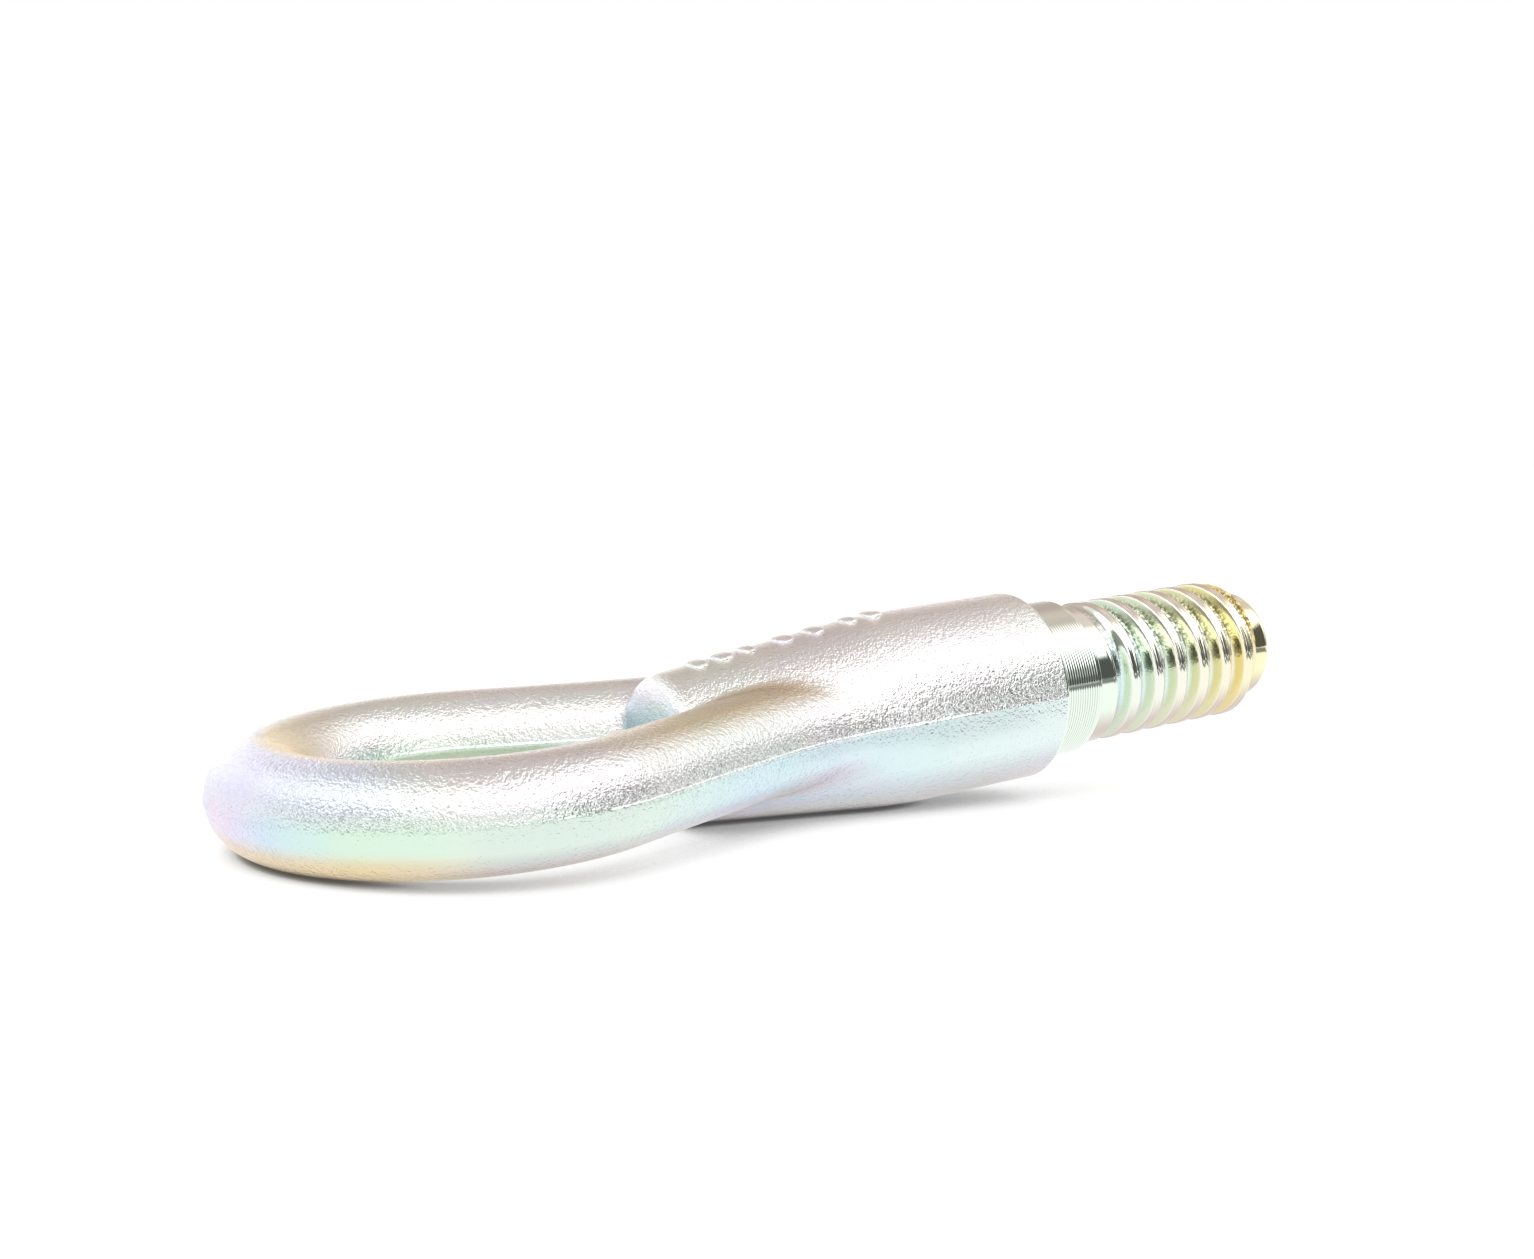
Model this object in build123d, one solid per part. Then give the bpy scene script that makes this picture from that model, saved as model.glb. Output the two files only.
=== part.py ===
from build123d import *
import math
import os

# One drop-forged tow eye, turned at the neck and rolled with a coarse thread. Millimetres and degrees.
# It is drawn along its screw axis with the shoulder face at x = 0, then laid down as it comes to rest.

# Screw end
thread_r = 10.0
thread_pitch = 4.3
thread_depth = 1.9
groove_mouth = 2.9
groove_floor = 1.5
thread_lead = 1.4
thread_runout = 0.6
thread_start_angle = -58.0
pilot_r = 7.85
pilot_length = 3.0
pilot_edge = 0.5
screw_length = 41.9

# Turned neck and shank
neck_r = 11.0
neck_length = 7.1
neck_edge = 0.3
shank_r = 13.0
shank_length = 24.0
shoulder_edge = 0.7

# Tapered nose inside the eye
nose_length = 57.6
nose_r = 9.4
nose_round = 2.4

# Eye: a round bar bent to an arc, with two arms that close on the shank
eye_bar_r = 6.5
eye_arc_r = 23.4
eye_centre = 83.0
arm_angle = 25.0
arm_root_r = 7.7
eye_rise = 1.5
arm_blend = 3.0

# Sizes that follow from the ones above
thread_end = screw_length - pilot_length
arm_root = eye_centre - eye_arc_r / math.sin(math.radians(arm_angle))
eye_end = eye_centre + eye_arc_r
arm_length = eye_arc_r / math.tan(math.radians(arm_angle))
cut_clear = 0.4


def turned_body():
    """Nose, shank, neck, thread blank and pilot, turned about the screw axis."""
    outline = Polyline(
        (-nose_length, 0),
        (-nose_length, nose_r),
        (-shank_length, shank_r),
        (-shoulder_edge, shank_r),
        (0, shank_r - shoulder_edge),
        (0, neck_r),
        (neck_length - neck_edge, neck_r),
        (neck_length, neck_r - neck_edge),
        (neck_length, thread_r),
        (thread_end - thread_lead, thread_r),
        (thread_end, pilot_r),
        (screw_length - pilot_edge, pilot_r),
        (screw_length, pilot_r - pilot_edge),
        (screw_length, 0),
        close=True,
    )
    half = make_face(outline)
    nose_corner = half.vertices().sort_by(Axis.X)[:2].sort_by(Axis.Y)[-1]
    half = fillet(nose_corner, nose_round)
    return revolve(Plane.XZ * half, axis=Axis.X)


def thread_groove():
    """One flat-bottomed groove, right-handed, cut turn by turn from the neck out past the lead-in."""
    start = neck_length + thread_runout + groove_mouth / 2
    turns = math.ceil((thread_end - start) / thread_pitch) + 1
    path = Helix(thread_pitch, thread_pitch, thread_r, center=(start, 0, 0), direction=(1, 0, 0))
    flank = (groove_mouth - groove_floor) / 2 / thread_depth
    top = groove_mouth / 2 + flank * cut_clear
    tooth = Polyline(
        (-top, cut_clear),
        (-groove_floor / 2, -thread_depth),
        (groove_floor / 2, -thread_depth),
        (top, cut_clear),
        close=True,
    )
    section = make_face(tooth)
    across = Plane(path @ 0, x_dir=(1, 0, 0), z_dir=path % 0)
    turn = sweep(across * section, path=path, is_frenet=True)
    drawn_angle = math.degrees(math.atan2((path @ 0).Z, (path @ 0).Y))
    turn = turn.rotate(Axis.X, thread_start_angle - drawn_angle)
    return [Pos(count * thread_pitch, 0, 0) * turn for count in range(turns)]


def eye():
    """Round bar: an arc over the end and two arms that grow towards the shank, set a little off its axis."""
    turn = 180 + 2 * arm_angle
    pivot = Axis((-eye_centre, 0, 0), (0, 0, 1))
    bar = Plane.XZ * Pos(-eye_centre + eye_arc_r, 0) * Circle(eye_bar_r)
    bar = bar.rotate(pivot, 90 - arm_angle)
    arc = revolve(bar, axis=pivot, revolution_arc=turn)
    arm = Cone(arm_root_r, eye_bar_r, arm_length, align=(Align.CENTER, Align.CENTER, Align.MIN))
    far_arm = Pos(-arm_root, 0, 0) * Rot(0, 0, -arm_angle) * Rot(0, -90, 0) * arm
    near_arm = Pos(-arm_root, 0, 0) * Rot(0, 0, arm_angle) * Rot(0, -90, 0) * arm
    loop = arc + far_arm + near_arm
    return loop.rotate(Axis((-arm_root, 0, 0), (0, 1, 0)), eye_rise)


def resting_tilt():
    """Angle of the screw axis over the floor when the eye's end and the shank's kink both touch it."""
    rise = math.radians(eye_rise)
    end_x = arm_root + (eye_end - arm_root) * math.cos(rise)
    end_z = (eye_end - arm_root) * math.sin(rise)
    along = end_x - shank_length
    up = end_z + shank_r
    return math.degrees(math.atan2(up, along) - math.asin(eye_bar_r / math.hypot(along, up)))


forging = turned_body() + eye()
arm_joins = forging.edges().filter_by(GeomType.BSPLINE)
forging = fillet(arm_joins, arm_blend)
tow_eye = forging
for turn in thread_groove():
    tow_eye = tow_eye - turn
tilt = resting_tilt()
tow_eye = tow_eye.rotate(Axis.Y, -tilt)
box = tow_eye.bounding_box()
tow_eye = Pos(-box.center().X, 0, -box.min.Z) * tow_eye

os.makedirs("parts", exist_ok=True)
export_step(tow_eye, "parts/tow_eye.step")
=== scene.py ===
import math

import bmesh
import bpy
import numpy as np
from mathutils import Matrix, Vector


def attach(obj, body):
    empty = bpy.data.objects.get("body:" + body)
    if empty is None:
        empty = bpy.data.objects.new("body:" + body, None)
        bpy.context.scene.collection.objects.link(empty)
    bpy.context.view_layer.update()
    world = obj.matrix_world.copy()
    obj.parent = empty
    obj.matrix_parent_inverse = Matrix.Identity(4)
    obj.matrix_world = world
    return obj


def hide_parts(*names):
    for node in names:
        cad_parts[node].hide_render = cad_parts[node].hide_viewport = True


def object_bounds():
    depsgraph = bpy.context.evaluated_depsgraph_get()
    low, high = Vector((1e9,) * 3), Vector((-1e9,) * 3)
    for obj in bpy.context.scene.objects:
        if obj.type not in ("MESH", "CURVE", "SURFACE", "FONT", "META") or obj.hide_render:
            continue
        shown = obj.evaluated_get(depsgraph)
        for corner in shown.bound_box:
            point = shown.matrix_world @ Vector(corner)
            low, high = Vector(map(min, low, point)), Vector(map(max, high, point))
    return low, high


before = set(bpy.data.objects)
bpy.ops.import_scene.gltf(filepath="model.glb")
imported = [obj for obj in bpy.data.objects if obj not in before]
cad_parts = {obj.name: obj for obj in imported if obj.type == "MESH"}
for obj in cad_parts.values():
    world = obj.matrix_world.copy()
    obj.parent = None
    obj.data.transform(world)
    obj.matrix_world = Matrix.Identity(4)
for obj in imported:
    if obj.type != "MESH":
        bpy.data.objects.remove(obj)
cad_low, cad_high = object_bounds()

MM = 0.001
DEGREES = 180 / math.pi
WHITE = (1.0, 1.0, 1.0, 1.0)

# Sizes in millimetres along the screw axis: the shoulder face is at x = 0, the screw points to +x,
# the near arm is on -y, and z is up. Small edges are pairs of a step along and a step out from a corner.

# Rolled thread and pilot tip
THREAD_R = 10.0
THREAD_PITCH = 4.3
THREAD_DEPTH = 1.75
THREAD_START = 9.15
THREAD_START_ANGLE = math.radians(-58)
THREAD_FOOT = ((0.02, 0.2), (0.1, 0.03))
THREAD_FOOT_LENGTH = 0.2
THREAD_ROW = 0.11
THREAD_LEAD = 1.4
LEAD_ROWS = 14
LEAD_CURVE = 1.3
GROOVE_MOUTH = 2.9
GROOVE_FLOOR = 1.3
GROOVE_CORNER = 0.6
CREST_CORNER = 0.3
RUN_IN_FROM = 0.15
RUN_IN_TURNS = 0.7
FOLD_DEPTH = 0.05
FOLD_OFF_CREST = 0.22
FOLD_WIDTH = 0.11
FOLD_WANDER = 0.10
FOLD_RIPPLE = 0.06
PILOT_R = 7.85
PILOT_LENGTH = 3.0
PILOT_FOOT = (0.1, 0.4)
PILOT_EDGE = ((-0.9, 0.0), (-0.55, -0.02), (-0.3, -0.14), (-0.1, -0.36), (0.0, -0.62), (0.0, -0.9))
PILOT_FACE_R = (5.5, 4.0, 2.5, 1.0)
SCREW_LENGTH = 41.9
SCREW_COLUMNS = 200

# Turned neck and shoulder
NECK_R = 11.0
NECK_LENGTH = 7.1
NECK_FOOT = (0.06, 0.04)
NECK_UNDERSIZE = 0.028
NECK_EDGE = ((-0.25, -0.03), (-0.06, -0.18), (0.0, -0.4))
NECK_EDGE_LENGTH = 0.3
TURNING_FROM = 0.15
TURNING_PITCH = 0.42
TURNING_DEPTH = 0.016
TURNING_STOP = 0.7
SHOULDER_EDGE = 0.7
SHOULDER_ROUND = ((-0.1, 0.0), (0.05, -0.06), (0.5, -0.48), (0.68, -0.8))
SHOULDER_FACE = (1.0, 0.15)
SHOULDER_ROWS = 8

# Forged shank and its nose inside the eye
SHANK_R = 13.0
SHANK_LENGTH = 24.0
SHANK_KINK = 0.5
NOSE_LENGTH = 57.6
NOSE_R = 9.4
NOSE_ROUND = 3.0
FORGED_END = -1.0

# Eye: a round bar bent to an arc, whose arms flare a little as they run into the shank
EYE_BAR_R = 6.5
EYE_ARC_R = 23.4
EYE_CENTRE = 83.0
EYE_RISE = math.radians(1.5)
ARM_ANGLE = math.radians(25)
ARM_ROOT_R = 7.0
ARM_FLARE = 0.0098
ARM_FLARE_FROM = -50.0
ARM_BLEND = 1.0
FLASH_HEIGHT = 0.10
FLASH_WIDTH = 0.45

# Plain raised pads on top of the taper, built up in layers: share of the outline, lift over the taper
PAD_ROW = (-50.5, -46.8, -43.1, -37.6, -32.9, -27.4, -23.6)
PAD_ANGLE = math.radians(91)
PAD_HEIGHT = 0.45
PAD_HALF_LENGTH = 1.25
PAD_HALF_WIDTH = 1.75
PAD_UNEVEN_LENGTH = 0.2
PAD_UNEVEN_WIDTH = 0.15
PAD_SQUARENESS = 0.7
PAD_COLUMNS = 28
PAD_LAYERS = ((1.0, -0.4), (1.0, 0.12), (0.93, 0.26), (0.8, 0.38), (0.6, 0.43),
              (0.3, PAD_HEIGHT), (0.05, PAD_HEIGHT))

# The forging's skin is made over a rough tube and barrel, then drawn onto the true shape
SKIN_CELL = 0.5
ROUGH_ARC_POINTS = 121
ROUGH_ARM_POINTS = 24
ROUGH_ARM_STOP = 0.1
ROUGH_BAR_COLUMNS = 40
ROUGH_SHANK_COLUMNS = 64
ROUGH_NOSE_EDGE = 2.0
ROUGH_OVERRUN = 2.0
CUT_MARGIN = 1.5
SKIN_PASSES = 5
SLOPE_STEP = 0.001
SLOPE_LEAST = 0.2

# Noise patches to a metre, and the depth of the bump in metres
CLOUDS_PER_M = 60.0
WAVES_PER_M = 110.0
DIMPLES_PER_M = 1700.0
GRAIN_PER_M = 3800.0
GROOVE_SHADE_SPECKS_PER_M = 2200.0
ROLLED_GRAIN_PER_M = 2600.0
FORGED_BUMP = 0.00011
TURNED_BUMP = 0.00003

# Stretches over which a row of hues runs: back from the shoulder, round the eye in degrees, up the nose,
# where the row also paints shade low down and a highlight high up
FORGED_HUE_SPAN = 115.0
EYE_END_HUE_SPAN = 60.0
NOSE_HUE_FROM = -2.0
NOSE_HUE_SPAN = 11.0

# Smallest angle in degrees that stays a sharp edge
FORGED_SHARP = 40
TURNED_SHARP = 50
PAD_SHARP = 60

# Light that the metal sees, where 1 is white
ROOM = 1.2
GREY_TOP = 0.64
RIGHT_WALL = 0.80
BACK_WALL = 0.60
LOW_BACK = 1.35
END_WALL = 0.96
SOFT_BOX = 2.0
LEFT_BOX = 1.65
SKIRTING = 0.35
DIM_CORNER = 0.09
TAN_CEILING = (1.0, 0.94, 0.90, 1.0)

# Paper floor, in metres and shares of white
FLOOR_HALF = 6.0
FLOOR_SHADED = (0.20, 0.20, 0.20, 1.0)
FLOOR_OWN_LIGHT = 0.88
FLOOR_IN_METAL = 1.05
FLOOR_MIRRORED = 0.85
FLOOR_NEAR = 0.001
FLOOR_DEEP = 0.016
FLOOR_DARKEST = 0.06
FLOOR_EDGE = 0.16
FLOOR_EDGE_FADE = 0.05
FLOOR_EDGE_WAY = (0.66, -0.75)

# Camera in the axis frame, as fitted to the photograph's outlines
CAMERA_AT = np.array([[-172.0, -219.1, 51.5]])
CAMERA_AZ = math.radians(-31.15)
CAMERA_EL = math.radians(8.52)
CAMERA_ROLL = math.radians(-3.80)
CAMERA_FOCUS_PX = 2005.0
CAMERA_SENSOR_MM = 36.0
PHOTO_WIDTH_PX = 1534

# Sizes that follow from the ones above
THREAD_END = SCREW_LENGTH - PILOT_LENGTH
TAPER = (SHANK_R - NOSE_R) / (NOSE_LENGTH - SHANK_LENGTH)
ARM_ROOT = EYE_CENTRE - EYE_ARC_R / math.sin(ARM_ANGLE)
ARM_LENGTH = EYE_ARC_R / math.tan(ARM_ANGLE)
EYE_REACH = EYE_CENTRE + EYE_ARC_R - ARM_ROOT


def resting_tilt():
    """Angle of the screw axis over the floor, with the eye's end and the shank's kink both on it."""
    along = ARM_ROOT + EYE_REACH * math.cos(EYE_RISE) - SHANK_LENGTH
    up = EYE_REACH * math.sin(EYE_RISE) + SHANK_R
    return math.atan2(up, along) - math.asin(EYE_BAR_R / math.hypot(along, up))


TILT = resting_tilt()
eye_end_x = -ARM_ROOT - EYE_REACH * math.cos(EYE_RISE)
eye_end_z = EYE_REACH * math.sin(EYE_RISE)
LAID_X = cad_low[0] / MM - (eye_end_x * math.cos(TILT) - eye_end_z * math.sin(TILT) - EYE_BAR_R)
LAID_Z = SHANK_LENGTH * math.sin(TILT) + SHANK_R * math.cos(TILT)
LAY_DOWN = Matrix.Translation(Vector((LAID_X, 0, LAID_Z)) * MM) @ Matrix.Rotation(-TILT, 4, "Y")


def laid(points):
    """Axis-frame millimetres to metres on the floor."""
    turn = np.array(LAY_DOWN.to_3x3())
    return points @ turn.T * MM + np.array(LAY_DOWN.translation)


def ease(t):
    """0 to 1 with a soft start and end."""
    return t * t * (3 - 2 * t)


def soft_max(a, b, width):
    """The larger of two, with the corner between them rounded over that width."""
    gap = np.maximum(width - np.abs(a - b), 0) / width
    return np.maximum(a, b) + gap * gap * width / 4


def soft_min(a, b, width):
    """The smaller of two, rounded in the same way."""
    return -soft_max(-a, -b, width)


def round_angles(count):
    """Angles all the way round, evenly spaced."""
    return np.linspace(0, 2 * math.pi, count, endpoint=False)


def shank_field(p):
    """Distance to the shank, its taper and the domed nose."""
    r = np.hypot(p[:, 1], p[:, 2])
    taper = (r - NOSE_R - TAPER * (p[:, 0] + NOSE_LENGTH)) / math.hypot(1, TAPER)
    barrel = soft_max(taper, r - SHANK_R, SHANK_KINK)
    return soft_max(barrel, -p[:, 0] - NOSE_LENGTH, NOSE_ROUND)


def eye_field(p):
    """Distance to the round bar of the eye, which swells and flares along its arms towards the shank.

    u, v and w run along, out to either side of and above the eye's own middle plane.
    """
    x = p[:, 0] + ARM_ROOT
    c, s = math.cos(EYE_RISE), math.sin(EYE_RISE)
    u = x * c - p[:, 2] * s - ARM_ROOT
    w = x * s + p[:, 2] * c
    v = np.abs(p[:, 1]) - ARM_FLARE * np.maximum(u - ARM_FLARE_FROM, 0) ** 2
    arm_u = -EYE_CENTRE + EYE_ARC_R * math.sin(ARM_ANGLE)
    arm_v = EYE_ARC_R * math.cos(ARM_ANGLE)
    way_u, way_v = math.cos(ARM_ANGLE), -math.sin(ARM_ANGLE)
    t = (u - arm_u) * way_u + (v - arm_v) * way_v
    k = np.clip(t, 0, ARM_LENGTH)
    arm = np.hypot(u - arm_u - k * way_u, v - arm_v - k * way_v)
    arc = np.abs(np.hypot(u + EYE_CENTRE, v) - EYE_ARC_R)
    bar = EYE_BAR_R + (ARM_ROOT_R - EYE_BAR_R) * ease(k / ARM_LENGTH)
    return np.hypot(np.where(t < 0, arc, arm), w) - bar


def forging_field(p):
    """Eye and shank as one forging, with the flash line where the two die halves met."""
    parting = p[:, 2] + np.minimum(p[:, 0] + ARM_ROOT, 0) * math.tan(EYE_RISE)
    flash = FLASH_HEIGHT * np.exp(-(parting / FLASH_WIDTH) ** 2)
    return soft_min(shank_field(p), eye_field(p), ARM_BLEND) - flash


def onto_field(points, field):
    """Moves points onto the zero of a field."""
    h = SLOPE_STEP
    for _ in range(SKIN_PASSES):
        slope = [(field(points + h * e) - field(points - h * e)) / (2 * h) for e in np.eye(3)]
        slope = np.stack(slope, 1)
        steep = np.maximum((slope * slope).sum(1), SLOPE_LEAST)
        points = points - slope * (field(points) / steep)[:, None]
    return points


def closed_skin(rings):
    """Points and faces of a stack of rings with both ends capped."""
    rows, columns = rings.shape[:2]
    i, j = np.meshgrid(np.arange(rows - 1) * columns, np.arange(columns), indexing="ij")
    k = (j + 1) % columns
    quads = np.stack([i + j, i + k, i + columns + k, i + columns + j], -1)
    faces = quads.reshape(-1, 4).tolist()
    last = (rows - 1) * columns
    faces.append(list(range(columns))[::-1])
    faces.append([last + j for j in range(columns)])
    return rings.reshape(-1, 3), faces


def joined(skins):
    """Points and faces of several closed skins as one."""
    faces = []
    shift = 0
    for skin_points, skin_faces in skins:
        faces += [[i + shift for i in face] for face in skin_faces]
        shift += len(skin_points)
    return np.concatenate([skin_points for skin_points, _ in skins]), faces


def new_piece(name, points, faces):
    """A new object with its own mesh."""
    mesh = bpy.data.meshes.new(name)
    mesh.from_pydata(points.tolist(), [], faces)
    mesh.validate()
    piece = bpy.data.objects.new(name, mesh)
    bpy.context.collection.objects.link(piece)
    return piece


def mesh_points(mesh):
    """A mesh's points as rows."""
    points = np.empty(len(mesh.vertices) * 3)
    mesh.vertices.foreach_get("co", points)
    return points.reshape(-1, 3)


def rough_eye():
    """A plain tube along the eye's middle line."""
    reach = math.pi / 2 + ARM_ANGLE
    angles = np.linspace(-reach, reach, ROUGH_ARC_POINTS)
    arc = np.stack([-EYE_CENTRE - EYE_ARC_R * np.cos(angles), EYE_ARC_R * np.sin(angles)], 1)
    root = np.array([-ARM_ROOT, 0.0])
    share = np.linspace(1, ROUGH_ARM_STOP, ROUGH_ARM_POINTS)[:, None]
    near_arm, far_arm = (end + share * (root - end) for end in (arc[0], arc[-1]))
    line = np.concatenate([near_arm, arc[1:-1], far_arm[::-1]])
    way = np.gradient(line, axis=0)
    way /= np.linalg.norm(way, axis=1)[:, None]
    flat = np.zeros((len(line), 1))
    middle = np.concatenate([line, flat], 1)[:, None]
    side = np.concatenate([way[:, 1:], -way[:, :1], flat], 1)[:, None]
    up = np.array([0, 0, 1.0])
    turn = round_angles(ROUGH_BAR_COLUMNS)[None, :, None]
    return closed_skin(middle + EYE_BAR_R * (np.cos(turn) * side + np.sin(turn) * up))


def rough_shank():
    """A plain barrel for the nose, taper and shank, longer than the forging at its cut end."""
    stations = np.array([
        (-NOSE_LENGTH, NOSE_R - ROUGH_NOSE_EDGE), (-NOSE_LENGTH + ROUGH_NOSE_EDGE, NOSE_R),
        (-SHANK_LENGTH, SHANK_R), (ROUGH_OVERRUN, SHANK_R)])
    turn = round_angles(ROUGH_SHANK_COLUMNS)
    x = np.repeat(stations[:, :1], ROUGH_SHANK_COLUMNS, 1)
    r = stations[:, 1:]
    return closed_skin(np.stack([x, r * np.cos(turn), r * np.sin(turn)], -1))


def forged_eye_and_shank():
    """The forging up to its turned shoulder: one skin over the eye, arms, nose and shank."""
    rough = new_piece("rough_forging", *joined([rough_eye(), rough_shank()]))
    remesh = rough.modifiers.new("one skin", "REMESH")
    remesh.mode = "VOXEL"
    remesh.voxel_size = SKIN_CELL
    seen = rough.evaluated_get(bpy.context.evaluated_depsgraph_get())
    mesh = bpy.data.meshes.new_from_object(seen)
    bpy.data.objects.remove(rough)
    points = mesh_points(mesh)
    forged = points[:, 0] < FORGED_END + CUT_MARGIN
    points[forged] = onto_field(points[forged], forging_field)
    mesh.vertices.foreach_set("co", points.ravel())
    skin = bmesh.new()
    skin.from_mesh(mesh)
    cut = bmesh.ops.bisect_plane(
        skin, geom=skin.verts[:] + skin.edges[:] + skin.faces[:],
        plane_co=(FORGED_END, 0, 0), plane_no=(1, 0, 0), clear_outer=True)
    rim = [e for e in cut["geom_cut"] if isinstance(e, bmesh.types.BMEdge)]
    bmesh.ops.holes_fill(skin, edges=rim, sides=0)
    skin.to_mesh(mesh)
    skin.free()
    mesh.vertices.foreach_set("co", laid(mesh_points(mesh)).ravel())
    piece = bpy.data.objects.new("forged_eye_and_shank", mesh)
    bpy.context.collection.objects.link(piece)
    return piece


def raised_forging_pads():
    """A row of plain pads, squarish and a little uneven, raised by the die along the top of the taper."""
    turn = round_angles(PAD_COLUMNS)
    along = np.sign(np.cos(turn)) * np.abs(np.cos(turn)) ** PAD_SQUARENESS
    across = np.sign(np.sin(turn)) * np.abs(np.sin(turn)) ** PAD_SQUARENESS
    pads = []
    for number, middle in enumerate(PAD_ROW):
        half_length = PAD_HALF_LENGTH + PAD_UNEVEN_LENGTH * math.sin(2.3 * number)
        half_width = PAD_HALF_WIDTH + PAD_UNEVEN_WIDTH * math.cos(1.7 * number)
        rings = []
        for share, lift in PAD_LAYERS:
            x = middle + half_length * share * along
            r = np.minimum(NOSE_R + TAPER * (x + NOSE_LENGTH), SHANK_R)
            angle = PAD_ANGLE + half_width * share * across / r
            rings.append(np.stack([x, (r + lift) * np.cos(angle), (r + lift) * np.sin(angle)], -1))
        pads.append(closed_skin(np.array(rings)))
    points, faces = joined(pads)
    return new_piece("raised_forging_pads", laid(points), faces)


def groove_depth(x, angle):
    """Depth of the rolled groove, its run-in at the neck, and the fold that rolling leaves on the crest."""
    turns = (angle - THREAD_START_ANGLE) / (2 * math.pi)
    along = (x - THREAD_START) / THREAD_PITCH - turns
    off = np.abs(along - np.round(along)) * THREAD_PITCH
    flank = (GROOVE_MOUTH - GROOVE_FLOOR) / 2 / THREAD_DEPTH
    depth = soft_min((GROOVE_MOUTH / 2 - off) / flank, THREAD_DEPTH, GROOVE_CORNER)
    depth = soft_max(depth, 0, CREST_CORNER)
    run_in = ease(np.clip((np.round(along) + turns - RUN_IN_FROM) / RUN_IN_TURNS, 0, 1))
    from_crest = THREAD_PITCH / 2 - off
    wander = FOLD_WANDER * np.sin(3 * angle + x) + FOLD_RIPPLE * np.sin(7 * angle - 2 * x)
    fold = FOLD_DEPTH * np.exp(-((from_crest - FOLD_OFF_CREST - wander) / FOLD_WIDTH) ** 2)
    return depth * run_in + fold * np.clip(run_in * 2 - 1, 0, 1)


def edge_at(x, r, steps):
    """Outline points at small steps from a corner."""
    return [(x + along, r + out) for along, out in steps]


def shoulder_and_neck():
    """Outline of the shoulder and the ringed neck, as places along the axis with their radius."""
    outline = [(FORGED_END, SHANK_R)]
    outline += edge_at(-SHOULDER_EDGE, SHANK_R, SHOULDER_ROUND)
    face_out, face_in = SHOULDER_FACE
    face = np.linspace(SHANK_R - face_out, NECK_R + face_in, SHOULDER_ROWS)
    outline += [(0.0, r) for r in face]
    outline += edge_at(0.0, NECK_R, [NECK_FOOT])
    for x in np.arange(TURNING_FROM, NECK_LENGTH - NECK_EDGE_LENGTH, TURNING_PITCH / 4):
        ring = 0.0
        if x < NECK_LENGTH - TURNING_STOP:
            ring = TURNING_DEPTH * math.cos(2 * math.pi * x / TURNING_PITCH)
        outline.append((x, NECK_R - NECK_UNDERSIZE + ring))
    outline += edge_at(NECK_LENGTH, NECK_R, NECK_EDGE)
    return outline + edge_at(NECK_LENGTH, THREAD_R, THREAD_FOOT)


def thread_blank():
    """Outline of the thread before its groove, down the lead-in to the pilot."""
    rows = np.arange(NECK_LENGTH + THREAD_FOOT_LENGTH, THREAD_END - THREAD_LEAD, THREAD_ROW)
    outline = [(x, THREAD_R) for x in rows]
    for t in np.linspace(0, 1, LEAD_ROWS):
        r = THREAD_R - (THREAD_R - PILOT_R) * t ** LEAD_CURVE
        outline.append((THREAD_END - THREAD_LEAD * (1 - t), r))
    return outline


def pilot_tip():
    """Outline of the pilot, its broken edge and its flat end."""
    outline = [(THREAD_END + along, PILOT_R) for along in PILOT_FOOT]
    outline += edge_at(SCREW_LENGTH, PILOT_R, PILOT_EDGE)
    return outline + [(SCREW_LENGTH, r) for r in PILOT_FACE_R]


def turned_screw_end():
    """Shoulder, ringed neck, rolled thread and pilot: one skin of rings about the screw axis."""
    neck, thread = shoulder_and_neck(), thread_blank()
    outline = np.array(neck + thread + pilot_tip())
    angle = round_angles(SCREW_COLUMNS)
    x = np.repeat(outline[:, :1], SCREW_COLUMNS, 1)
    r = np.repeat(outline[:, 1:], SCREW_COLUMNS, 1)
    threaded = slice(len(neck), len(neck) + len(thread))
    root = THREAD_R - groove_depth(x[threaded], angle)
    r[threaded] = np.maximum(np.minimum(r[threaded], root), PILOT_R)
    points, faces = closed_skin(np.stack([x, r * np.cos(angle), r * np.sin(angle)], -1))
    return new_piece("turned_screw_end", laid(points), [face[::-1] for face in faces])


def dress(piece, plating, sharp):
    """Gives a piece its plating, smooth but for edges over that many degrees."""
    piece.data.polygons.foreach_set("use_smooth", [True] * len(piece.data.polygons))
    piece.data.set_sharp_from_angle(angle=math.radians(sharp))
    piece.data.materials.append(plating)


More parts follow.
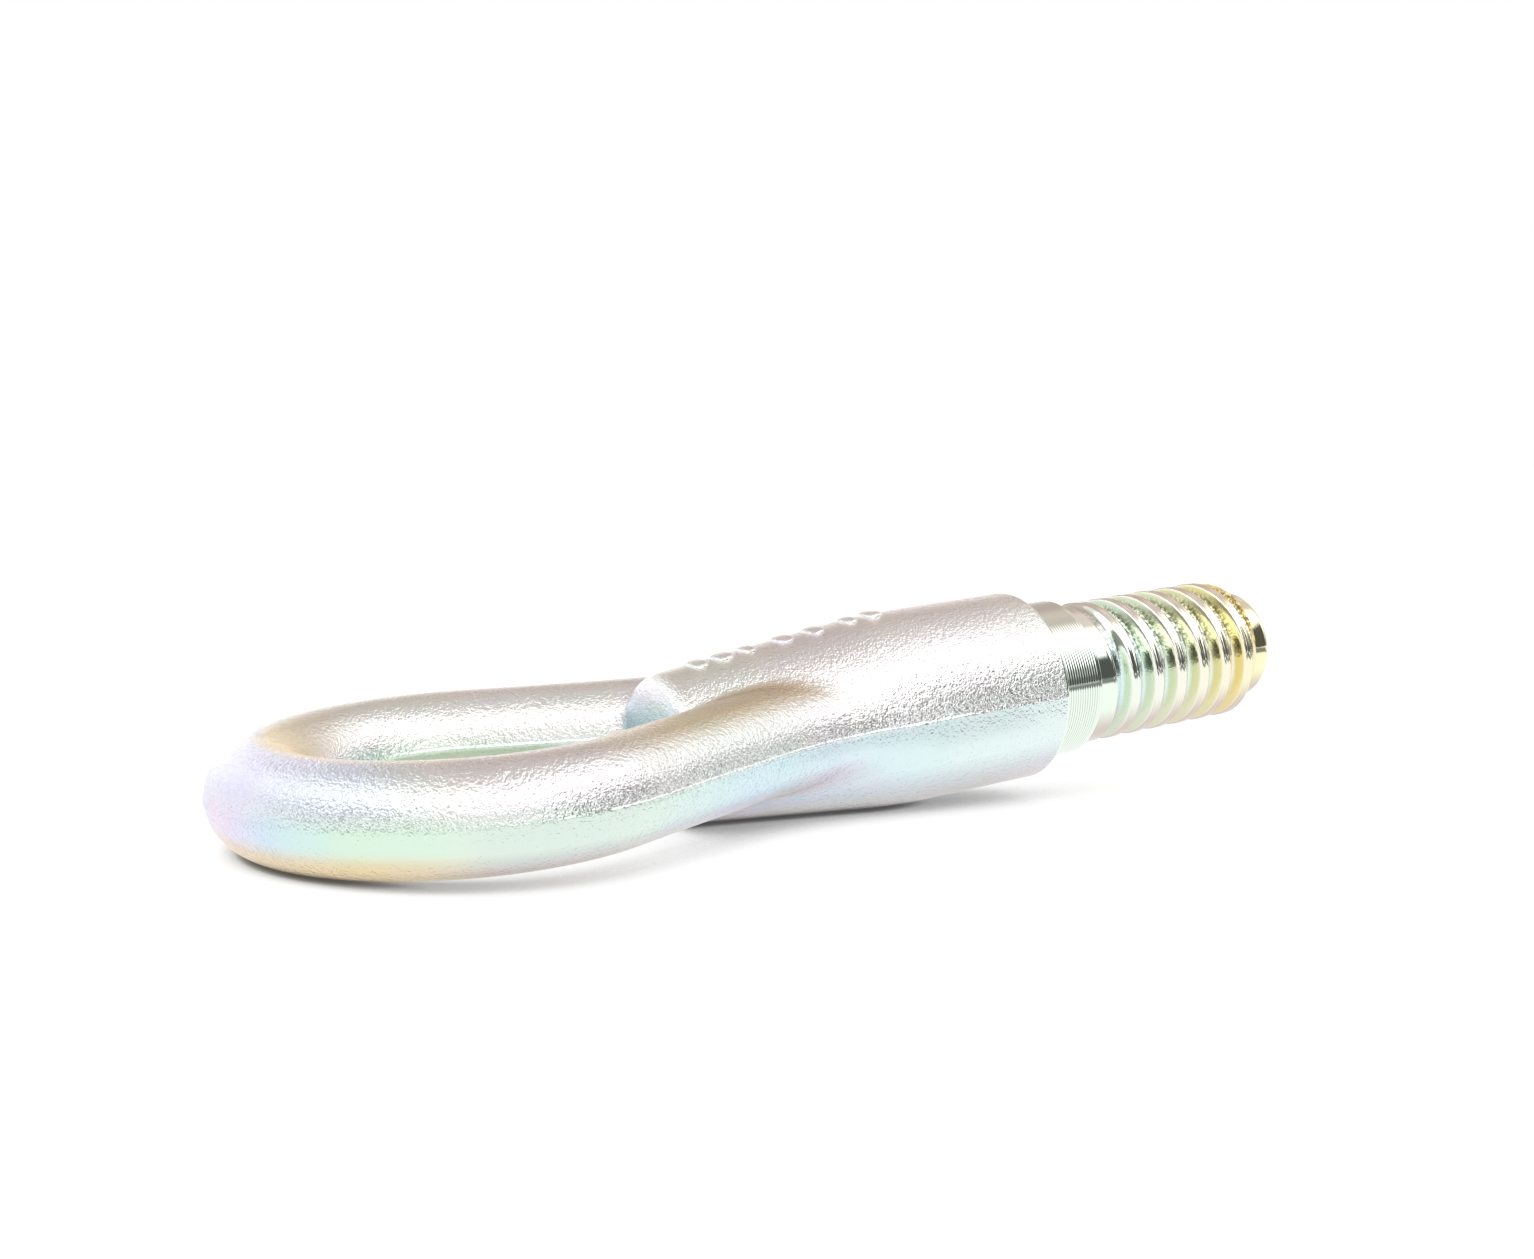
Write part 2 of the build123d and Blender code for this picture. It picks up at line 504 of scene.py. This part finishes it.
class Wire:
    """An output socket. Sums on wires add Math nodes; add() makes any other node."""

    def __init__(self, tree, socket=None):
        self.tree = tree
        self.socket = socket

    def add(self, kind, settings=None, inputs=None, out=0):
        node = self.tree.nodes.new(kind)
        for key, value in (settings or {}).items():
            if key == "stops":
                ramp = node.color_ramp
                while len(ramp.elements) < len(value):
                    ramp.elements.new(0.5)
                for element, (place, colour) in zip(ramp.elements, value):
                    element.position = place
                    element.color = colour
            else:
                setattr(node, key, value)
        for key, value in (inputs or {}).items():
            if isinstance(value, Wire):
                self.tree.links.new(value.socket, node.inputs[key])
            else:
                node.inputs[key].default_value = value
        return Wire(self.tree, node.outputs[out]) if node.outputs else node

    def math(self, operation, *values):
        return self.add("ShaderNodeMath", {"operation": operation}, dict(enumerate(values)))

    def __add__(self, other):
        return self.math("ADD", self, other)

    def __sub__(self, other):
        return self.math("SUBTRACT", self, other)

    def __rsub__(self, other):
        return self.math("SUBTRACT", other, self)

    def __mul__(self, other):
        return self.math("MULTIPLY", self, other)

    def __abs__(self):
        return self.math("ABSOLUTE", self)

    __radd__ = __add__
    __rmul__ = __mul__

    def split(self):
        """The three parts of a vector."""
        node = self.add("ShaderNodeSeparateXYZ", None, {0: self}).socket.node
        return [Wire(self.tree, socket) for socket in node.outputs]

    def step(self, low, high):
        """0 below low, 1 above high, smooth between."""
        return self.add("ShaderNodeMapRange", {"interpolation_type": "SMOOTHSTEP"},
                        {"Value": self, "From Min": low, "From Max": high})

    def fade(self, low, high):
        """1 below low, 0 above high, smooth between."""
        return 1 - self.step(low, high)

    def band(self, rise, fall):
        """1 between a rise and a fall, each given by where it starts and ends."""
        return self.step(*rise) * self.fade(*fall)

    def ramp(self, stops):
        return self.add("ShaderNodeValToRGB", {"stops": stops}, {"Fac": self})

    def mix(self, factor, a, b, blend="MIX"):
        settings = {"data_type": "RGBA", "blend_type": blend}
        return self.add("ShaderNodeMix", settings, {0: factor, 6: a, 7: b}, out=2)

    def noise(self, scale, detail=2.0):
        """Noise over a place."""
        return self.add("ShaderNodeTexNoise", None, {"Vector": self, "Scale": scale, "Detail": detail})


def tint(red, green, blue):
    """A colour as it is seen, 0 to 255, as linear light."""
    parts = [c / 255 for c in (red, green, blue)]
    return tuple(c / 12.92 if c < 0.04045 else ((c + 0.055) / 1.055) ** 2.4 for c in parts) + (1.0,)


class Finish:
    """A plated metal with the part's own places: millimetres along, across and above the screw axis.

    right, back and up say which way a face looks. up runs from 0, straight down, to 1, straight up.
    """

    def __init__(self, name):
        self.material = bpy.data.materials.new(name)
        self.material.use_nodes = True
        self.tree = self.material.node_tree
        wire = Wire(self.tree)
        self.place = wire.add("ShaderNodeTexCoord", out="Object")
        x, y, z = self.place.split()
        x = x * (1 / MM) - LAID_X
        z = z * (1 / MM) - LAID_Z
        self.x = x * math.cos(TILT) + z * math.sin(TILT)
        self.y = y * (1 / MM)
        self.z = z * math.cos(TILT) - x * math.sin(TILT)
        self.right, self.back, up = wire.add("ShaderNodeTexCoord", out="Normal").split()
        self.up = up * 0.5 + 0.5

    def plated(self, colour, roughness, height, depth):
        """Wires the metal up and returns the material. depth is the bump's, in metres."""
        shader = self.tree.nodes["Principled BSDF"]
        shader.inputs["Metallic"].default_value = 1.0
        bump = height.add("ShaderNodeBump", None, {"Strength": 1.0, "Distance": depth, "Height": height})
        for socket, value in (("Base Color", colour), ("Roughness", roughness), ("Normal", bump)):
            self.tree.links.new(value.socket, shader.inputs[socket])
        return self.material


def painted(colour, coats):
    """Lays coats over a colour in turn, each given by where it lies, how strong it is and its hue."""
    for where, strength, hue in coats:
        colour = colour.mix(where * strength, colour, hue)
    return colour


def round_bar_hues_and_shade(f, round_eye):
    """Grey-white over the top of the bar, darkened towards the underside by painted shade, with a faint
    painted tan on the very top. The lower half turns pink, blue and green along the eye.
    """
    along = f.x * (1 / FORGED_HUE_SPAN) + 1
    low = along.ramp([
        (0.05, tint(228, 247, 230)), (0.35, tint(234, 250, 236)), (0.52, tint(222, 244, 252)),
        (0.70, tint(227, 244, 250)), (0.90, tint(240, 250, 250))])
    eye_end = (round_eye * (1 / EYE_END_HUE_SPAN)).ramp([
        (0.00, tint(254, 236, 254)), (0.18, tint(240, 234, 255)), (0.36, tint(222, 236, 252)),
        (0.55, tint(224, 244, 242)), (0.75, tint(228, 247, 230))])
    low = low.mix(round_eye.fade(34, 48), low, eye_end)
    # Painted shade: the bar darkens from white towards the faces that look down, with a faint tan painted
    # on the faces that look straight up.
    bar_white_and_under_shade = f.up.ramp([
        (0.00, tint(212, 204, 204)), (0.07, tint(222, 214, 214)), (0.15, tint(232, 224, 230)),
        (0.27, tint(250, 251, 251)), (0.50, tint(248, 249, 248)), (0.68, tint(246, 244, 242)),
        (0.90, tint(247, 245, 242)), (1.00, tint(246, 235, 226))])
    on_loop = f.x.fade(-84, -62)
    lower_half = (f.up - on_loop * 0.08).fade(0.42, 0.60) * f.up.step(0.02, 0.2)
    return bar_white_and_under_shade.mix(lower_half, bar_white_and_under_shade, bar_white_and_under_shade.mix(1.0, bar_white_and_under_shade, low, "MULTIPLY"))


def loop_coats(f, round_eye):
    """Painted brown shade and gold under the loop, lilac over its end and gold on the inside of that end.
    """
    near_end = f.x.fade(-104, -88)
    # Painted shade: brown over the faces of the loop that look down towards the floor.
    loop_underside_shade = f.x.fade(-74, -60) * f.up.fade(0.02, 0.16)
    gold_low = near_end * f.up.fade(0.14, 0.36)
    lilac_high = round_eye.fade(36, 66) * f.up.step(0.50, 0.70)
    inner_gold = near_end * f.right.step(-0.3, 0.15) * f.up.step(0.5, 0.75)
    return [
        (loop_underside_shade, 0.70, tint(186, 168, 142)),
        (gold_low, 0.85, tint(244, 216, 168)),
        (lilac_high, 0.75, tint(232, 234, 255)),
        (inner_gold, 0.85, tint(255, 226, 168)),
    ]


def arm_and_nose_coats(f):
    """A blue nose painted darker low down and whiter high up, painted olive shade under the far arm,
    painted shade along the flash line, and painted gold crease shade along the top of the near arm.
    """
    # The nose's blue is the plating's; its ramp also paints shade low down and a highlight high up.
    nose_face = f.right.fade(-0.95, -0.6) * f.x.band((-60, -58.2), (-56, -54)) * abs(f.y).fade(6, 8.5)
    nose_blue_and_shade = ((f.z - NOSE_HUE_FROM) * (1 / NOSE_HUE_SPAN)).ramp([
        (0.00, tint(128, 166, 172)), (0.30, tint(176, 218, 226)),
        (0.60, tint(216, 240, 246)), (0.90, tint(252, 248, 255))])
    # Painted shadow, olive, on the inner faces under the far arm.
    far_arm_underside_shade = f.y.step(6, 12) * f.back.fade(-0.3, 0.1) * f.up.fade(0.40, 0.52) * f.x.fade(-66, -58)
    line_shade = f.up.band((0.32, 0.42), (0.47, 0.51)) * f.x.band((-52, -40), (-12, -3))
    crease = f.x.band((-47, -41), (-32, -25)) * f.up.fade(0.18, 0.32) * f.y.fade(-10.5, -8)
    # Painted crease shade, gold-brown, where the top of the near arm runs into the taper.
    near_arm_crease_shade = f.back.step(-0.8, -0.3) * f.up.step(0.6, 0.8) * f.y.fade(-8.5, -6)
    near_arm_crease_shade = near_arm_crease_shade * f.x.band((-84, -60), (-36, -28))
    return [
        (nose_face, 0.85, nose_blue_and_shade),
        (far_arm_underside_shade, 0.85, tint(176, 190, 162)),
        (line_shade, 0.35, tint(192, 210, 212)),
        (crease, 0.28, tint(240, 212, 230)),
        (near_arm_crease_shade, 0.80, tint(230, 208, 166)),
    ]


def forged_plating():
    """Zinc over forged, blasted steel, with a pale passivation that shifts hue round the bar, under painted
    shade and highlights.
    """
    f = Finish("forged plating")
    round_eye = abs(f.y.math("ARCTAN2", f.y, (f.x + EYE_CENTRE) * -1)) * DEGREES
    colour = painted(round_bar_hues_and_shade(f, round_eye), loop_coats(f, round_eye) + arm_and_nose_coats(f))
    clouds = f.place.noise(CLOUDS_PER_M).ramp([
        (0.35, tint(240, 232, 248)), (0.5, tint(250, 250, 250)), (0.65, tint(236, 252, 244))])
    colour = colour.mix(0.35, colour, clouds, "MULTIPLY")
    grain = f.place.noise(GRAIN_PER_M, 1.5)
    dimples = f.place.noise(DIMPLES_PER_M, 1.0)
    waves = f.place.noise(WAVES_PER_M)
    on_eye = f.x + ARM_ROOT
    parting = f.z + on_eye.math("MINIMUM", on_eye, 0.0) * math.tan(EYE_RISE)
    flash = abs(parting).fade(0.05, 0.4) * f.x.band((-96, -74), (-26, -6)) * waves.step(0.3, 0.5)
    height = grain + dimples * 1.2 + waves * 2.0 + flash * 1.2
    return f.plated(colour, grain * 0.12 + 0.15, height, FORGED_BUMP)


def turned_plating():
    """The same zinc on turned and rolled steel: smoother, greener at the neck, golden towards the tip. Over
    it lie painted tan on the top and painted shade in the turning rings, the upper grooves and on the
    underside.
    """
    f = Finish("turned plating")
    along = f.x * (1 / SCREW_LENGTH)
    crest_hue = along.ramp([
        (0.00, tint(240, 250, 240)), (0.17, tint(236, 250, 236)), (0.40, tint(244, 246, 236)),
        (0.75, tint(250, 244, 222)), (0.93, tint(252, 246, 204)), (1.00, tint(253, 250, 206))])
    flank_hue = along.ramp([
        (0.20, tint(206, 226, 206)), (0.40, tint(214, 230, 204)), (0.62, tint(222, 226, 186)),
        (0.80, tint(232, 222, 158)), (0.92, tint(242, 206, 128))])
    groove_hue = along.ramp([
        (0.20, tint(208, 236, 242)), (0.60, tint(222, 238, 232)), (0.92, tint(244, 234, 200))])
    radius = f.y.math("SQRT", f.y * f.y + f.z * f.z)
    past_neck = f.x.step(NECK_LENGTH, NECK_LENGTH + 0.5)
    on_thread = past_neck * f.x.fade(THREAD_END - 0.6, THREAD_END + 0.1)
    in_groove = radius.fade(THREAD_R - 1.5, THREAD_R - 0.3) * on_thread
    flank = f.right.fade(-0.88, -0.62) * radius.fade(THREAD_R - 0.5, THREAD_R - 0.1) * on_thread
    # Painted shade along the turning rings of the neck, standing in for what their slopes reflect.
    rings = f.x.math("SINE", f.x * (2 * math.pi / TURNING_PITCH)).step(-0.2, 0.8)
    rings = rings * f.x.band((0.05, 0.15), (NECK_LENGTH - 0.9, NECK_LENGTH - 0.6))
    # Painted shade: dark specks in the upper grooves, where the next crest shades them.
    groove_shade_specks = f.place.noise(GROOVE_SHADE_SPECKS_PER_M, 1.0).step(0.40, 0.56) * f.z.step(1.5, 4.5) * in_groove
    colour = painted(crest_hue, [
        (in_groove, 0.80, groove_hue),
        (flank, 0.90, flank_hue),
        # Painted shade, tan, over the faces that look up.
        (f.up.step(0.74, 0.95), 0.60, tint(226, 196, 180)),
        (rings, 0.50, tint(168, 172, 164)),
        (groove_shade_specks, 0.85, tint(112, 116, 92)),
        # Painted shade, mauve-tan, over the faces of the thread that look down.
        (f.up.fade(0.12, 0.34) * past_neck, 0.85, tint(200, 180, 170)),
    ])
    height = f.place.noise(ROLLED_GRAIN_PER_M) * (in_groove * 0.9 + 0.12)
    return f.plated(colour, in_groove * 0.08 + 0.08, height, TURNED_BUMP)


def white_floor():
    """Paper, lit and partly white of itself, that darkens close under the part and in the gaps below it.

    The metal mirrors it as even white, and as dim where the paper ends at the front right.
    """
    corners = np.array([(-1, -1, 0), (1, -1, 0), (1, 1, 0), (-1, 1, 0)])
    floor = new_piece("white_floor", corners * FLOOR_HALF, [[0, 1, 2, 3]])
    material = bpy.data.materials.new("white floor")
    material.use_nodes = True
    material.node_tree.nodes.clear()
    wire = Wire(material.node_tree)

    def glow(strength):
        return wire.add("ShaderNodeEmission", None, {"Color": WHITE, "Strength": strength})

    def blend(factor, a, b):
        return wire.add("ShaderNodeMixShader", None, {0: factor, 1: a, 2: b})

    def shelter(reach):
        return wire.add("ShaderNodeAmbientOcclusion", {"samples": 8}, {"Distance": reach}, out="AO")

    glossy = wire.add("ShaderNodeLightPath", out="Is Glossy Ray")
    x, y, _ = wire.add("ShaderNodeTexCoord", out="Object").split()
    way_x, way_y = FLOOR_EDGE_WAY
    past_edge = (x * way_x + y * way_y).step(FLOOR_EDGE, FLOOR_EDGE + FLOOR_EDGE_FADE)
    past_edge = past_edge * abs(y * way_x - x * way_y).fade(0.1, 0.2)
    mirrored = blend(past_edge, glow(FLOOR_IN_METAL), glow(DIM_CORNER))
    paper = wire.add("ShaderNodeBsdfDiffuse", None, {"Color": FLOOR_SHADED})
    lit = wire.add("ShaderNodeAddShader", None, {0: paper, 1: glow(FLOOR_OWN_LIGHT)})
    lit = blend(glossy * FLOOR_MIRRORED, lit, mirrored)
    close = shelter(FLOOR_NEAR).step(0.1, 0.7)
    deep = shelter(FLOOR_DEEP).step(0.08, 0.36)
    deep = deep + (1 - deep) * (glossy * 0.5 + 0.2)
    open_sky = close * deep * (1 - FLOOR_DARKEST) + FLOOR_DARKEST
    wire.add("ShaderNodeOutputMaterial", None, {"Surface": blend(open_sky, paper, lit)})
    floor.data.materials.append(material)


def room_in_metal(heading, height):
    """Light that the metal sees and where it is tan, by degrees round from the front and up."""
    behind = heading.step(150, 165) + heading.fade(-165, -150)
    far_left = heading.step(164, 172) + heading.fade(-120, -95)
    grey_top = (height + behind * 26).step(48, 66)
    right_wall = heading.band((54, 74), (108, 130)) * height.fade(50, 62)
    back_wall = heading.band((110, 138), (162, 170)) * height.band((12, 19), (60, 74))
    low_back = (heading.step(125, 145) + heading.fade(-168, -150)) * (height - far_left * 12).fade(9, 17)
    end_wall = heading.band((-168, -150), (-114, -94)) * height.fade(26, 40)
    soft_box = heading.band((4, 24), (70, 92)) * height.band((12, 28), (58, 74))
    left_box = heading.band((-118, -100), (-2, 14)) * height.band((20, 32), (54, 68))
    skirting_foot = 9 * heading.fade(-50, -10)
    skirting_top = 7 + 20 * heading.fade(-60, -10)
    skirting = heading.band((-118, -96), (100, 120)) * (height - skirting_foot).step(-3, 1)
    skirting = skirting * (height - skirting_top).fade(-2, 4)
    corner_top = (heading - 36) * 0.6
    corner = heading.band((20, 34), (56, 70)) * height.step(-6, -3) * (height - corner_top).fade(20, 28)
    light = ROOM
    for place, level in (
            (grey_top, GREY_TOP), (right_wall, RIGHT_WALL), (back_wall, BACK_WALL), (low_back, LOW_BACK),
            (end_wall, END_WALL), (soft_box, SOFT_BOX), (left_box, LEFT_BOX), (skirting, SKIRTING),
            (corner, DIM_CORNER)):
        light = light + (level - light) * place
    tan = grey_top * 0.5 + back_wall
    tan = tan.math("MINIMUM", tan, 1.0) * (1 - soft_box) * (1 - low_back)
    return light, tan


def studio_light():
    """An even white room. The metal alone sees its soft boxes, grey walls, dark skirting and dim corner."""
    world = bpy.data.worlds.new("studio")
    bpy.context.scene.world = world
    world.use_nodes = True
    world.node_tree.nodes.clear()
    wire = Wire(world.node_tree)
    x, y, z = wire.add("ShaderNodeTexCoord", out="Generated").split()
    heading = x.math("ARCTAN2", x, 0 - y) * DEGREES
    height = z.math("ARCSINE", z) * DEGREES
    light, tan = room_in_metal(heading, height)
    glossy = wire.add("ShaderNodeLightPath", out="Is Glossy Ray")
    light = (light - 1) * glossy + 1
    colour = light.mix(tan * glossy, light, TAN_CEILING, "MULTIPLY")
    shade = wire.add("ShaderNodeBackground", None, {"Color": colour, "Strength": 1.0})
    wire.add("ShaderNodeOutputWorld", None, {"Surface": shade})


def photo_camera():
    """The camera where the photograph was taken from, turned and set as it was."""
    level = math.cos(CAMERA_EL)
    back = Vector((math.sin(CAMERA_AZ) * level, -math.cos(CAMERA_AZ) * level, math.sin(CAMERA_EL)))
    right = Vector((math.cos(CAMERA_AZ), math.sin(CAMERA_AZ), 0))
    up = back.cross(right)
    c, s = math.cos(CAMERA_ROLL), math.sin(CAMERA_ROLL)
    right, up = c * right + s * up, c * up - s * right
    turn = LAY_DOWN.to_3x3() @ Matrix((right, up, back)).transposed()
    lens = bpy.data.cameras.new("photo camera")
    lens.sensor_fit = "HORIZONTAL"
    lens.sensor_width = CAMERA_SENSOR_MM
    lens.lens = CAMERA_SENSOR_MM * CAMERA_FOCUS_PX / PHOTO_WIDTH_PX
    lens.clip_start = 0.005
    lens.clip_end = 50.0
    camera = bpy.data.objects.new("photo camera", lens)
    camera.matrix_world = Matrix.Translation(Vector(laid(CAMERA_AT)[0])) @ turn.to_4x4()
    bpy.context.collection.objects.link(camera)
    bpy.context.scene.camera = camera


bpy.context.scene.view_settings.view_transform = "Standard"
forging = forged_eye_and_shank()
screw_end = turned_screw_end()
pads = raised_forging_pads()
forged = forged_plating()
dress(forging, forged, FORGED_SHARP)
dress(pads, forged, PAD_SHARP)
dress(screw_end, turned_plating(), TURNED_SHARP)
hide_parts("tow_eye")
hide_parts("tow_eye")
for piece in (forging, screw_end, pads):
    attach(piece, "root")
white_floor()
studio_light()
photo_camera()
